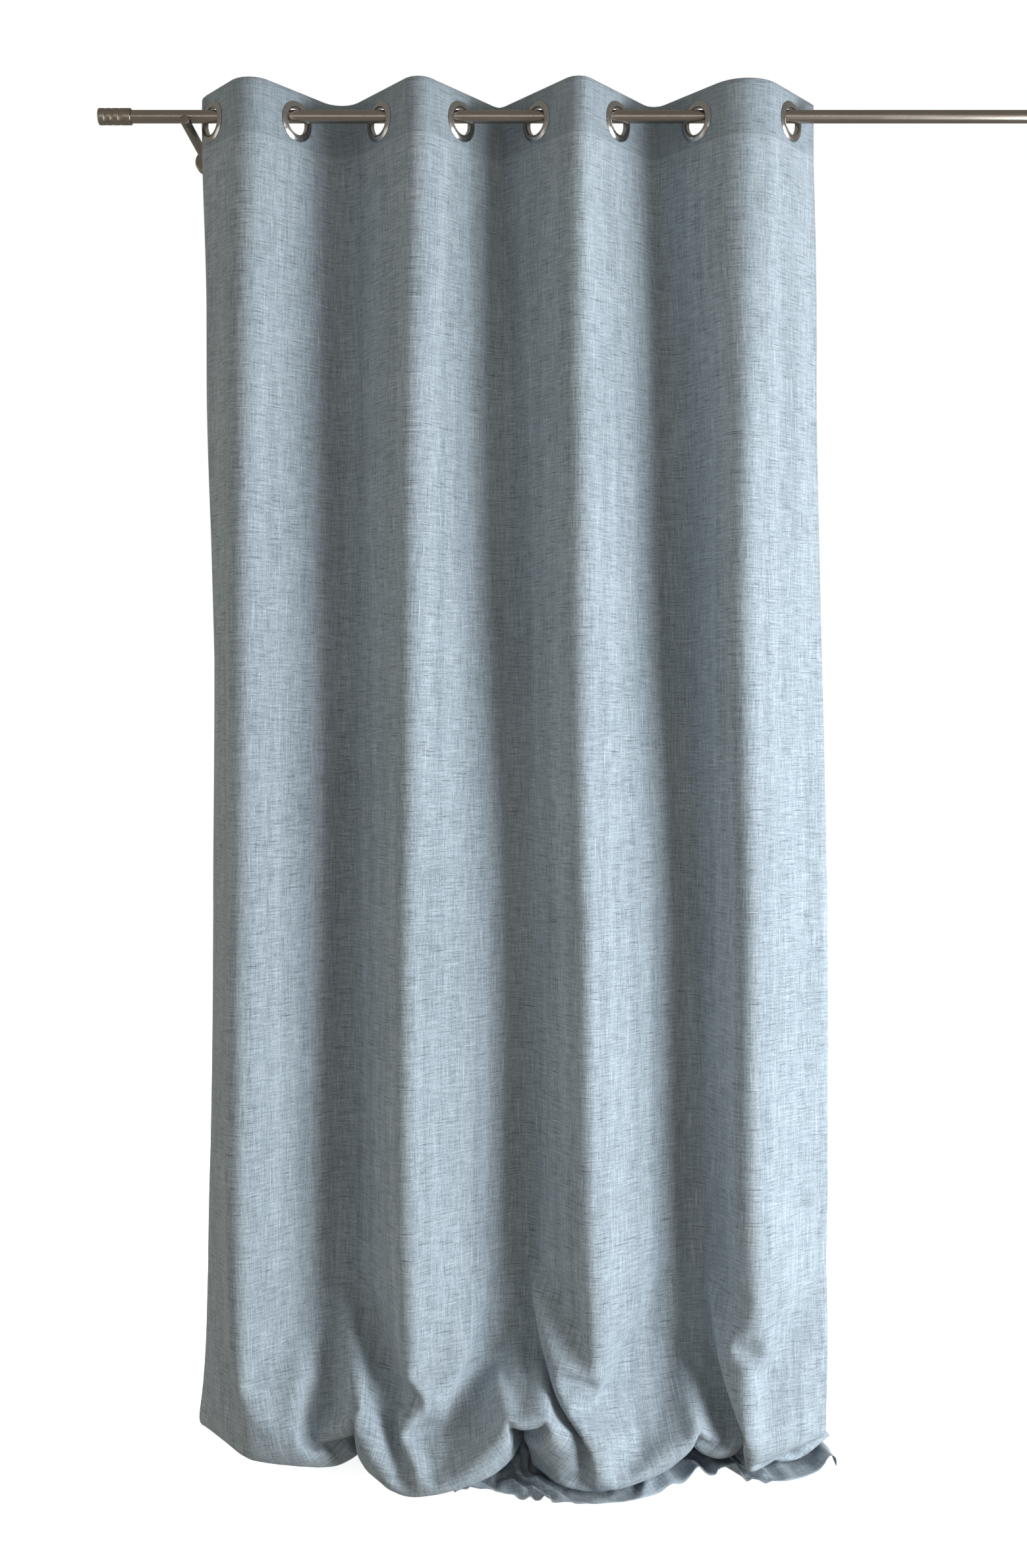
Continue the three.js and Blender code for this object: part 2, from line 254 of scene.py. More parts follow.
def eyelet_across(index):
    return SIDE_MARGIN + index * EYELET_PITCH


def sample_line(line, across, header_share):
    lengths = lengths_along(line)
    marks = np.concatenate([[0], eyelet_across(np.arange(EYELETS)), [CLOTH_WIDTH]])
    shift = header_share * np.interp(across, marks, HEADER_SHIFTS)
    along = across / CLOTH_WIDTH * lengths[-1] + shift
    return np.interp(along, lengths, line[:, 0]), np.interp(along, lengths, line[:, 1])


HEADER_LINE = plan_row(-0.03)
HEADER_SHIFTS = eyelet_shifts(HEADER_LINE)


# ------------------------------------------------------------ meshes

def link(obj):
    bpy.context.scene.collection.objects.link(obj)
    return obj


def mesh_object(name, vertices, faces, smooth=True):
    mesh = bpy.data.meshes.new(name)
    points, corners = [tuple(map(float, v)) for v in vertices], [tuple(map(int, f)) for f in faces]
    mesh.from_pydata(points, [], corners)
    mesh.validate()
    for polygon in mesh.polygons:
        polygon.use_smooth = smooth
    return link(bpy.data.objects.new(name, mesh))


def grid_faces(rows, columns, keep=None):
    faces = []
    for r in range(rows - 1):
        for c in range(columns - 1):
            if keep is None or keep(r, c):
                a = r * columns + c
                faces.append((a, a + columns, a + columns + 1, a + 1))
    return faces


# ------------------------------------------------------------ the sheet

SIDE_HEM = 0.021
FLOOR_HEM = 0.045
HEADER_STEP = 0.0094
EDGE_STEP = 0.0014
HEADER_ROWS = [EYELET_BELOW_TOP + k * HEADER_STEP for k in range(-5, 5)]
HANG_STEP = 0.02
SIM_TOP = 1.80


def sheet_rows():
    """Distance of each row below the top edge, and +1 in front or -1 in the turned-over layer."""
    header = [max(v, 0.0) for v in HEADER_ROWS] + [HEADER]
    header.insert(1, EDGE_STEP)
    hang = list(np.arange(HEADER + HANG_STEP / 2, SIM_TOP - HANG_STEP / 4, HANG_STEP))
    pool = list(np.arange(SIM_TOP, CLOTH_LENGTH + CELL / 2, CELL))
    back = [(v, -1) for v in header[:0:-1]]
    return back + [(0.0, 0)] + [(v, 1) for v in header[1:] + hang + pool]


ROWS = sheet_rows()
ROW_DROP = np.array([drop for drop, _ in ROWS])
ROW_SIDE = np.array([side for _, side in ROWS])
ACROSS = np.linspace(0, CLOTH_WIDTH, round(CLOTH_WIDTH / CELL) + 1)
COLUMNS = len(ACROSS)
FIRST_SIM_ROW = int(np.argmax((ROW_DROP >= SIM_TOP - 1e-6) & (ROW_SIDE == 1)))


def flat_coordinates():
    """Across and drop of each vertex, with the vertices round each eyelet moved to its hole."""
    across = np.tile(ACROSS, (len(ROWS), 1))
    drop = np.tile(ROW_DROP[:, None], (1, COLUMNS))
    for index in range(EYELETS):
        du, dv = across - eyelet_across(index), drop - EYELET_BELOW_TOP
        r = np.hypot(du, dv)
        edge = (r > TO_EDGE[0]) & (r < TO_EDGE[1])
        circle = (r >= TO_EDGE[1]) & (r < TO_CIRCLE)
        for mask, wide, high in (
            (edge, HOLE_HALF_WIDTH, HOLE_HALF_HEIGHT),
            (circle, ROUND_HOLE, ROUND_HOLE),
        ):
            across[mask] = eyelet_across(index) + du[mask] / r[mask] * wide
            drop[mask] = EYELET_BELOW_TOP + dv[mask] / r[mask] * high
    return across, drop


def in_hole(r, c):
    if max(ROW_DROP[r], ROW_DROP[r + 1]) > HEADER + 1e-6:
        return False
    v = (ROW_DROP[r] + ROW_DROP[r + 1]) / 2 - EYELET_BELOW_TOP
    u = (ACROSS[c] + ACROSS[c + 1]) / 2
    return any(math.hypot(u - eyelet_across(i), v) < LEFT_OUT for i in range(EYELETS))


RIPPLE_WAVES = 26
RIPPLE_SLOPE = 0.0022


def ripple(across, drop):
    """Soft unevenness of hanging linen: waves of many lengths, from below the header down."""
    rng = np.random.default_rng(7)
    total = np.zeros_like(across)
    for _ in range(RIPPLE_WAVES):
        wave = rng.uniform(0.08, 0.5)
        angle = rng.uniform(-0.35, 0.35)
        k = 2 * math.pi / wave
        phase = rng.uniform(0, 2 * math.pi)
        along = across * math.cos(angle) + drop * math.sin(angle)
        total += wave * RIPPLE_SLOPE * np.sin(k * along + phase)
    fade = np.clip((drop - 0.1) / 0.35, 0, 1)
    return total * fade


def hanging_sheet():
    """Each vertex of the sheet as it would hang with no floor, and its place on the flat cloth."""
    across, drop = flat_coordinates()
    points = np.zeros((len(ROWS), COLUMNS, 3))
    step = 0.001
    for r, (row_drop, side) in enumerate(ROWS):
        z = CLOTH_TOP_Z - row_drop
        line = plan_row(max(z, FLOOR_Z)) if z < HEADER_FOOT else HEADER_LINE
        share = 1 - smooth_step((HEADER_FOOT - z) / HEADER_FADE)
        x, depth = sample_line(line, across[r], share)
        x1, d1 = sample_line(line, np.clip(across[r] + step, 0, CLOTH_WIDTH), share)
        x0, d0 = sample_line(line, np.clip(across[r] - step, 0, CLOTH_WIDTH), share)
        length = np.hypot(x1 - x0, d1 - d0)
        offset = LAYER_OFFSET * side
        points[r, :, 0] = x + (d1 - d0) / length * offset
        points[r, :, 1] = ROD_Y + depth - (x1 - x0) / length * offset
        points[r, :, 2] = CLOTH_TOP_Z - drop[r]
    tangent = np.gradient(points, axis=1)
    outward = np.stack([tangent[..., 1], -tangent[..., 0], np.zeros_like(across)], axis=-1)
    outward /= np.linalg.norm(outward, axis=-1, keepdims=True)
    points += outward * ripple(across, drop)[..., None]
    return points, across, drop


# ------------------------------------------------------------ the floor end, by cloth simulation

SIM_FRAMES = 64
RISE_FRAMES = 44
SELF_GAP = 0.004
HELD_ROWS = 3
# The cloth leans from this height above the floor, and the floor starts this far below the cloth.
LEAN_HEIGHT = 0.05
BED_DROP = 0.01
# How the spare cloth leans back as it lands, at shares of the width, per metre of spare cloth.
LEAN_AT = [0, 0.12, 0.25, 0.36, 0.6, 0.85, 1.0]
LEAN = [0.12, 0.2, 0.16, 0.16, 0.22, 0.24, 0.20]
# In the right half the last of it turns forward again, so that the hem shows.
TURN_AT = [0.44, 0.52, 1.0]
TURN = [0, 0.72, 0.612]
TURN_FROM = 0.19
BED_SINK = 0.005
BED_FRICTION = 45
BED_THICKNESS = 0.006
WALL_THICKNESS = 0.003
WALL_FRICTION = 2
RIDGE_THICKNESS = 0.004
RIDGE_FRICTION = 5
# Where the front of the cloth on the floor starts to be held back, and how much room it has left.
POOL_FRONT = -0.27
POOL_ROOM = 0.029
FLOOR_GAP = 0.0008


def leaning(part, spare):
    """The part with its spare cloth leaned back, and the last of it turned forward again."""
    across = ACROSS / CLOTH_WIDTH
    part[:, :, 1] += spare[:, None] * np.interp(across, LEAN_AT, LEAN)[None, :]
    turned = np.clip(spare - TURN_FROM, 0, None)
    part[:, :, 1] -= turned[:, None] * np.interp(across, TURN_AT, TURN)[None, :]
    return part


def make_cloth(part):
    obj = mesh_object("settling_cloth", part.reshape(-1, 3), grid_faces(part.shape[0], COLUMNS))
    held = obj.vertex_groups.new(name="held")
    held.add(list(range(COLUMNS * HELD_ROWS)), 1.0, "REPLACE")
    cloth = obj.modifiers.new("Cloth", "CLOTH")
    settings = cloth.settings
    settings.vertex_group_mass = "held"
    settings.quality = 7
    settings.mass = 0.12
    settings.tension_stiffness = 20
    settings.compression_stiffness = 20
    settings.shear_stiffness = 8
    settings.bending_model = "ANGULAR"
    settings.bending_stiffness = 12
    settings.tension_damping = 8
    settings.compression_damping = 8
    settings.shear_damping = 8
    settings.bending_damping = 1.5
    settings.air_damping = 2.0
    touch = cloth.collision_settings
    touch.distance_min = 0.003
    touch.collision_quality = 3
    touch.use_self_collision = True
    touch.self_distance_min = SELF_GAP
    touch.self_friction = 8
    cloth.point_cache.frame_start = 1
    cloth.point_cache.frame_end = SIM_FRAMES + 1
    return obj


def collider(name, vertices, faces, thickness, friction):
    obj = mesh_object(name, vertices, faces)
    obj.modifiers.new("Collision", "COLLISION")
    obj.collision.thickness_outer = thickness
    obj.collision.cloth_friction = friction
    return obj


def make_bed():
    corners = [(-1, -1.5, 0), (2.2, -1.5, 0), (2.2, 1, 0), (-1, 1, 0)]
    return collider("settling_floor", corners, [(0, 1, 2, 3)], BED_THICKNESS, BED_FRICTION)


def make_ridge():
    """A low ridge that lifts the cloth between the two middle folds."""
    front, back = ROD_Y, ROD_Y + 0.13
    left, middle, right = 0.47, 0.53, 0.60
    vertices = [(left, front, 0), (right, front, 0), (right, back, 0), (left, back, 0)]
    vertices += [(middle, front + 0.03, 0.085), (middle, back - 0.03, 0.085)]
    faces = [(0, 1, 4), (1, 2, 5, 4), (2, 3, 5), (3, 0, 4, 5), (3, 2, 1, 0)]
    return collider("settling_ridge", vertices, faces, RIDGE_THICKNESS, RIDGE_FRICTION)


def make_walls():
    """The wall behind, and a side at each end that keeps the pool no wider than the panel."""
    back, left, right, depth = -0.014, -0.006, 1.02, 0.2
    blocks = (
        (-0.6, 1.6, back, back + depth),
        (left - depth, left, -0.6, 0),
        (right, right + depth, -0.6, 0),
    )
    sides = ((0, 1, 5, 4), (1, 2, 6, 5), (2, 3, 7, 6), (3, 0, 4, 7), (3, 2, 1, 0), (4, 5, 6, 7))
    vertices, faces = [], []
    for x0, x1, y0, y1 in blocks:
        first = len(vertices)
        for z in (-2.6, -1.0):
            vertices += [(x0, y0, z), (x1, y0, z), (x1, y1, z), (x0, y1, z)]
        faces += [tuple(first + corner for corner in side) for side in sides]
    return collider("settling_walls", vertices, faces, WALL_THICKNESS, WALL_FRICTION)


def settle(points):
    """The floor rises under the hanging sheet, whose upper rows are held."""
    part = points[FIRST_SIM_ROW:].copy()
    rows = part.shape[0]
    drop = SIM_TOP + np.arange(rows) * CELL
    part = leaning(part, np.clip(drop - (CLOTH_TOP_Z - FLOOR_Z) + LEAN_HEIGHT, 0, None))
    obj = make_cloth(part)
    bed, ridge, walls = make_bed(), make_ridge(), make_walls()
    low = part[:, :, 2].min() - BED_DROP
    scene = bpy.context.scene
    for number in range(1, SIM_FRAMES + 1):
        risen = smooth_step((number - 1) / RISE_FRAMES)
        bed.location.z = low + (FLOOR_Z - BED_SINK - low) * risen
        ridge.location.z = bed.location.z
        scene.frame_set(number)
    graph = bpy.context.evaluated_depsgraph_get()
    settled = np.zeros(rows * COLUMNS * 3)
    obj.evaluated_get(graph).data.vertices.foreach_get("co", settled)
    for helper in (obj, bed, ridge, walls):
        bpy.data.objects.remove(helper)
    scene.frame_set(1)
    points = points.copy()
    points[FIRST_SIM_ROW:] = settled.reshape(rows, COLUMNS, 3)
    return points


def keep_inside(points):
    """The settled cloth smoothed a little, above the floor, and not too far in front."""
    points[FIRST_SIM_ROW:] = softened(points[FIRST_SIM_ROW:])
    points[:, :, 2] = np.maximum(points[:, :, 2], FLOOR_Z + FLOOR_GAP)
    over = np.clip(POOL_FRONT - points[:, :, 1], 0, None)
    points[:, :, 1] += over - POOL_ROOM * np.tanh(over / POOL_ROOM)
    return points


def softened(grid):
    """One light smoothing pass over the grid, with its outline left as it is."""
    inner = grid[1:-1, 1:-1]
    around = (grid[:-2, 1:-1] + grid[2:, 1:-1] + grid[1:-1, :-2] + grid[1:-1, 2:]) / 4
    out = grid.copy()
    out[1:-1, 1:-1] = (inner + around) / 2
    return out


def refined(grid):
    """The grid with a new row and column half-way between each two, on a smooth curve."""
    for axis in (0, 1):
        grid = np.moveaxis(grid, axis, 0)
        padded = np.concatenate([2 * grid[:1] - grid[1:2], grid, 2 * grid[-1:] - grid[-2:-1]])
        halfway = (9 * (padded[1:-2] + padded[2:-1]) - padded[:-3] - padded[3:]) / 16
        finer = np.empty((2 * len(grid) - 1,) + grid.shape[1:])
        finer[0::2], finer[1::2] = grid, halfway
        grid = np.moveaxis(finer, 0, axis)
    return grid


def sheet_faces(upper_rows, pool_shape):
    """Faces of the upper grid, of the finer pool grid, and of the row that joins them."""
    faces = grid_faces(upper_rows, COLUMNS, lambda r, c: not in_hole(r, c))
    start = upper_rows * COLUMNS
    rows, columns = pool_shape
    for c in range(COLUMNS - 1):
        a = (upper_rows - 1) * COLUMNS + c
        faces.append((a, start + 2 * c, start + 2 * c + 1, start + 2 * c + 2, a + 1))
    return faces + [tuple(v + start for v in face) for face in grid_faces(rows, columns)]


def sheet_object(points, across, drop):
    """The panel's mesh, with its flat places as an attribute and its hems in a vertex group."""
    upper = slice(0, FIRST_SIM_ROW)
    side = np.repeat(ROW_SIDE[:, None], COLUMNS, 1)
    values = np.stack([across, drop, side], axis=-1).astype(float)
    pool, pool_values = refined(points[FIRST_SIM_ROW:]), refined(values[FIRST_SIM_ROW:])
    vertices = np.concatenate([points[upper].reshape(-1, 3), pool.reshape(-1, 3)])
    values = np.concatenate([values[upper].reshape(-1, 3), pool_values.reshape(-1, 3)])
    obj = mesh_object("curtain_panel", vertices, sheet_faces(FIRST_SIM_ROW, pool.shape[:2]))
    flat = obj.data.attributes.new("flat", "FLOAT_VECTOR", "POINT")
    flat.data.foreach_set("vector", values.astype(np.float32).ravel())
    layers = obj.vertex_groups.new(name="layers")
    edge = np.minimum(values[:, 0], CLOTH_WIDTH - values[:, 0])
    from_hem = CLOTH_LENGTH - values[:, 1]
    thick = np.where((edge < SIDE_HEM) | (from_hem < FLOOR_HEM), 1.0, ONE_LAYER)
    for weight in (1.0, ONE_LAYER):
        layers.add([int(i) for i in np.nonzero(thick == weight)[0]], weight, "REPLACE")
    return without_loose(obj)


def without_loose(obj):
    shape = bmesh.new()
    shape.from_mesh(obj.data)
    bmesh.ops.delete(shape, geom=[v for v in shape.verts if not v.link_faces], context="VERTS")
    shape.to_mesh(obj.data)
    shape.free()
    return obj


# ------------------------------------------------------------ turned metal parts

def turned_mesh(name, profile, segments=72):
    """A closed (radius, height) profile turned about Y. Points with no radius are on the axis."""
    vertices, rings = [], []
    for radius, height in profile:
        if radius < 1e-7:
            rings.append([len(vertices)])
            vertices.append((0, height, 0))
        else:
            rings.append(list(range(len(vertices), len(vertices) + segments)))
            for k in range(segments):
                angle = 2 * math.pi * k / segments
                vertices.append((radius * math.cos(angle), height, radius * math.sin(angle)))
    faces = []
    count = len(rings)
    for index in range(count):
        a, b = rings[index], rings[(index + 1) % count]
        if len(a) == 1 and len(b) == 1:
            continue
        for k in range(segments):
            n = (k + 1) % segments
            if len(a) == 1:
                faces.append((a[0], b[k], b[n]))
            elif len(b) == 1:
                faces.append((a[k], b[0], a[n]))
            else:
                faces.append((a[k], b[k], b[n], a[n]))
    obj = mesh_object(name, vertices, faces)
    shape = bmesh.new()
    shape.from_mesh(obj.data)
    bmesh.ops.recalc_face_normals(shape, faces=shape.faces)
    shape.to_mesh(obj.data)
    shape.free()
    return obj


EDGE_ANGLES = (0.4, 0.8, 1.2)


def far_edge(radius, end, bend, angles=EDGE_ANGLES):
    """Profile points round the outer edge at the far end of a turned part."""
    return [(radius - bend * (1 - math.cos(a)), end - bend + bend * math.sin(a)) for a in angles]


def rounded(points, radius, steps=5):
    """A closed profile with every corner rounded. A corner on the axis stays sharp."""
    out = []
    count = len(points)
    for index in range(count):
        before = np.array(points[index - 1], float)
        corner = np.array(points[index], float)
        after = np.array(points[(index + 1) % count], float)
        if corner[0] < 1e-7:
            out.append(tuple(corner))
            continue
        back, ahead = before - corner, after - corner
        reach = min(radius, 0.45 * np.linalg.norm(back), 0.45 * np.linalg.norm(ahead))
        start = corner + back / np.linalg.norm(back) * reach
        end = corner + ahead / np.linalg.norm(ahead) * reach
        for step in range(steps + 1):
            t = step / steps
            out.append(tuple((1 - t) ** 2 * start + 2 * t * (1 - t) * corner + t * t * end))
    return out


def place(obj, matrix):
    obj.data.transform(matrix)
    obj.data.update()
    return obj


def crease(obj, degrees=38):
    """Keeps true edges sharp in the shading."""
    limit = math.radians(degrees)
    shape = bmesh.new()
    shape.from_mesh(obj.data)
    for edge in shape.edges:
        edge.smooth = not (len(edge.link_faces) == 2 and edge.calc_face_angle(0) > limit)
    shape.to_mesh(obj.data)
    shape.free()
    return obj


def cut(obj, cutters):
    for cutter in cutters:
        bite = obj.modifiers.new("Cut", "BOOLEAN")
        bite.operation = "DIFFERENCE"
        bite.solver = "EXACT"
        bite.object = cutter
    graph = bpy.context.evaluated_depsgraph_get()
    mesh = bpy.data.meshes.new_from_object(obj.evaluated_get(graph))
    obj.modifiers.clear()
    obj.data = mesh
    for cutter in cutters:
        bpy.data.objects.remove(cutter)
    return crease(obj)


def cutter_rod(radius, length, centre, axis, segments=48):
    profile = [(0, -length / 2), (radius, -length / 2), (radius, length / 2), (0, length / 2)]
    obj = turned_mesh("cutter", profile, segments)
    turn = Vector((0, 1, 0)).rotation_difference(Vector(axis)).to_matrix().to_4x4()
    return place(obj, Matrix.Translation(centre) @ turn)


ALONG_X = Matrix.Rotation(-math.pi / 2, 4, "Z")
INTO_ROOM = Matrix.Rotation(math.pi, 4, "X")
ROD_WALL = 0.0012
ROD_EDGE = 0.0003
CLEARANCE = 0.0003


def make_rod():
    inner = ROD_RADIUS - ROD_WALL
    start, end = ROD_LOW[0], ROD_HIGH[0]
    corners = [(inner, start), (ROD_RADIUS, start), (ROD_RADIUS, end), (inner, end)]
    rod = turned_mesh("curtain_rod", rounded(corners, ROD_EDGE, 3), 96)
    return crease(place(rod, Matrix.Translation((0, ROD_Y, ROD_Z)) @ ALONG_X))


FINIAL_GROOVES = (0.011, 0.021, 0.033)
GROOVE_DEPTH = 0.0006
GROOVE_HALF_WIDTH = 0.0013
FINIAL_EDGE = 0.0018
SOCKET_DEPTH = 0.041
GRUB_HOLE = 0.0016
LOCK_HOLE = 0.0027


def make_finial(side):
    low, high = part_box(f"finial_{side}")
    radius = (high[2] - low[2]) / 2
    length = high[0] - low[0]
    socket, socket_end = ROD_RADIUS + CLEARANCE, length - SOCKET_DEPTH
    flat = radius - FINIAL_EDGE
    profile = [(0, 0), (flat, 0)]
    for a in EDGE_ANGLES:
        profile.append((flat + FINIAL_EDGE * math.sin(a), FINIAL_EDGE - FINIAL_EDGE * math.cos(a)))
    profile.append((radius, FINIAL_EDGE))
    for at in FINIAL_GROOVES:
        for k in range(-4, 5):
            dip = GROOVE_DEPTH * math.cos(k / 4 * math.pi / 2)
            profile.append((radius - dip, at + k / 4 * GROOVE_HALF_WIDTH))
    profile += [(radius, length - 0.0012), (radius - 0.0005, length - 0.0004)]
    profile += [(radius - 0.0012, length), (socket, length), (socket, socket_end), (0, socket_end)]
    finial = turned_mesh(f"rod_end_{side}", profile, 96)
    turn = ALONG_X if side == "left" else Matrix.Rotation(math.pi / 2, 4, "Z")
    end = low[0] if side == "left" else high[0]
    place(finial, Matrix.Translation((end, ROD_Y, ROD_Z)) @ turn)
    screw_low, screw_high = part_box(f"finial_grub_screw_{side}")
    centre = (Vector(screw_low) + Vector(screw_high)) / 2
    return cut(finial, [cutter_rod(GRUB_HOLE, 0.008, centre - Vector((0, 0, 0.002)), (0, 0, 1))])


def make_arm(side):
    low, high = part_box(f"bracket_arm_{side}")
    radius = (high[0] - low[0]) / 2
    reach = -low[1]
    rose_depth = -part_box(f"bracket_rose_{side}")[0][1]
    shoulder = rose_depth + CLEARANCE
    spigot, spigot_end = 0.004, -high[1]
    bevel, bend = 0.0004, 0.0014
    profile = [(0, spigot_end), (spigot, spigot_end), (spigot, shoulder)]
    profile += [(radius - bevel, shoulder), (radius, shoulder + bevel), (radius, reach - bend)]
    profile += far_edge(radius, reach, bend) + [(radius - bend, reach), (0, reach)]
    arm = turned_mesh(f"rod_bracket_arm_{side}", profile, 64)
    x = (low[0] + high[0]) / 2
    place(arm, Matrix.Translation((x, 0, 0)) @ INTO_ROOM)
    saddle = cutter_rod(ROD_RADIUS + CLEARANCE, 4 * radius, (x, ROD_Y, ROD_Z), (1, 0, 0), 72)
    hole = cutter_rod(LOCK_HOLE, 4 * radius, (x, ROD_Y, -radius), (0, 0, 1), 32)
    return cut(arm, [saddle, hole])


def make_rose(side):
    low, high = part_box(f"bracket_rose_{side}")
    radius = (high[0] - low[0]) / 2
    depth = -low[1]
    inner = radius - 0.0016
    face = depth - 0.002
    bend, arm_hole = 0.0035, 0.0043
    profile = [(inner, 0), (radius, 0), (radius, depth - bend)]
    profile += far_edge(radius, depth, bend, (*EDGE_ANGLES, 1.5))
    profile += [(0.0060, depth), (arm_hole, depth - 0.0004), (arm_hole, face), (inner, face)]
    rose = turned_mesh(f"bracket_cover_{side}", profile, 80)
    x = (low[0] + high[0]) / 2
    place(rose, Matrix.Translation((x, 0, 0)) @ INTO_ROOM)
    hole = cutter_rod(GRUB_HOLE, 0.01, (x, -0.0023, -radius), (0, 0, 1), 24)
    return cut(rose, [hole])


FLANGE = 0.0021
BORE = 0.0205
RIM = 0.031


def eyelet_matrix(index):
    forward = 1 if index % 2 == 0 else -1
    place_at = Matrix.Translation((EYELET_X[index], ROD_Y, EYELET_Z))
    return place_at @ Matrix.Rotation(-forward * TILT, 4, "Z")


def make_eyelet(index):
    """The domed front half with its neck, and the flatter back half."""
    front = [(BORE, 0.0041), (BORE, -FLANGE - 0.0012), (BORE + 0.0009, -FLANGE - 0.0023)]
    front += [(BORE + 0.0022, -FLANGE - 0.0027), (BORE + 0.0038, -FLANGE - 0.0028)]
    front += [(BORE + 0.0055, -FLANGE - 0.0025), (BORE + 0.0073, -FLANGE - 0.0019)]
    front += [(BORE + 0.0089, -FLANGE - 0.0010), (RIM - 0.0004, -FLANGE - 0.0003)]
    front += [(RIM, -FLANGE - 0.0001), (RIM - 0.0002, -FLANGE), (BORE + 0.0012, -FLANGE)]
    front += [(BORE + 0.0012, 0.0041)]
    inner = BORE + 0.0015
    back = [(inner, FLANGE), (RIM, FLANGE), (RIM, FLANGE + 0.0006)]
    back += [(RIM - 0.0016, FLANGE + 0.0018), (RIM - 0.0035, FLANGE + 0.002)]
    back += [(inner + 0.0006, FLANGE + 0.002), (inner, FLANGE + 0.0014)]
    pieces = []
    for end, profile, radius in (("front", front, 0.0005), ("back", back, 0.0004)):
        ring = turned_mesh(f"eyelet_ring_{index + 1}_{end}", rounded(profile, radius, 3), 80)
        place(ring, eyelet_matrix(index))
        crease(ring, 50)
        pieces.append(ring)
    return pieces


# ------------------------------------------------------------ materials

def material(name):
    made = bpy.data.materials.new(name)
    made.use_nodes = True
    made.node_tree.nodes.clear()
    return made


class Tree:
    """Short calls for building a node tree."""

    def __init__(self, made):
        self.tree = made.node_tree
        self.shader = self.add("ShaderNodeBsdfPrincipled")
        out = self.add("ShaderNodeOutputMaterial")
        self.link(self.shader.outputs[0], out.inputs[0])

    def add(self, kind, **settings):
        node = self.tree.nodes.new(kind)
        for key, value in settings.items():
            setattr(node, key, value)
        return node

    def link(self, a, b):
        self.tree.links.new(a, b)

    def scaled(self, vector, scale, offset=(0, 0, 0)):
        node = self.add("ShaderNodeMapping")
        node.inputs["Scale"].default_value = scale
        node.inputs["Location"].default_value = offset
        self.link(vector, node.inputs["Vector"])
        return node.outputs[0]

    def noise(self, vector, detail=2.0, roughness=0.5):
        node = self.add("ShaderNodeTexNoise")
        node.inputs["Scale"].default_value = 1.0
        node.inputs["Detail"].default_value = detail
        node.inputs["Roughness"].default_value = roughness
        self.link(vector, node.inputs["Vector"])
        return node.outputs[0]

    def ramp(self, value, low, high, out_low=0.0, out_high=1.0):
        node = self.add("ShaderNodeMapRange", clamp=True)
        node.inputs["From Min"].default_value = low
        node.inputs["From Max"].default_value = high
        node.inputs["To Min"].default_value = out_low
        node.inputs["To Max"].default_value = out_high
        self.link(value, node.inputs["Value"])
        return node.outputs[0]

    def math(self, kind, a, b):
        node = self.add("ShaderNodeMath", operation=kind)
        for socket, value in zip(node.inputs, (a, b)):
            if isinstance(value, (int, float)):
                socket.default_value = value
            else:
                self.link(value, socket)
        return node.outputs[0]

    def mix(self, factor, a, b):
        node = self.add("ShaderNodeMix", data_type="RGBA")
        for socket, value in ((node.inputs[0], factor), (node.inputs[6], a), (node.inputs[7], b)):
            if isinstance(value, (int, float)):
                socket.default_value = value
            elif isinstance(value, tuple):
                socket.default_value = (*value, 1.0)
            else:
                self.link(value, socket)
        return node.outputs[2]

    def bump(self, height, distance, strength=1.0, normal=None):
        node = self.add("ShaderNodeBump")
        node.inputs["Distance"].default_value = distance
        node.inputs["Strength"].default_value = strength
        self.link(height, node.inputs["Height"])
        if normal:
            self.link(normal, node.inputs["Normal"])
        return node.outputs[0]


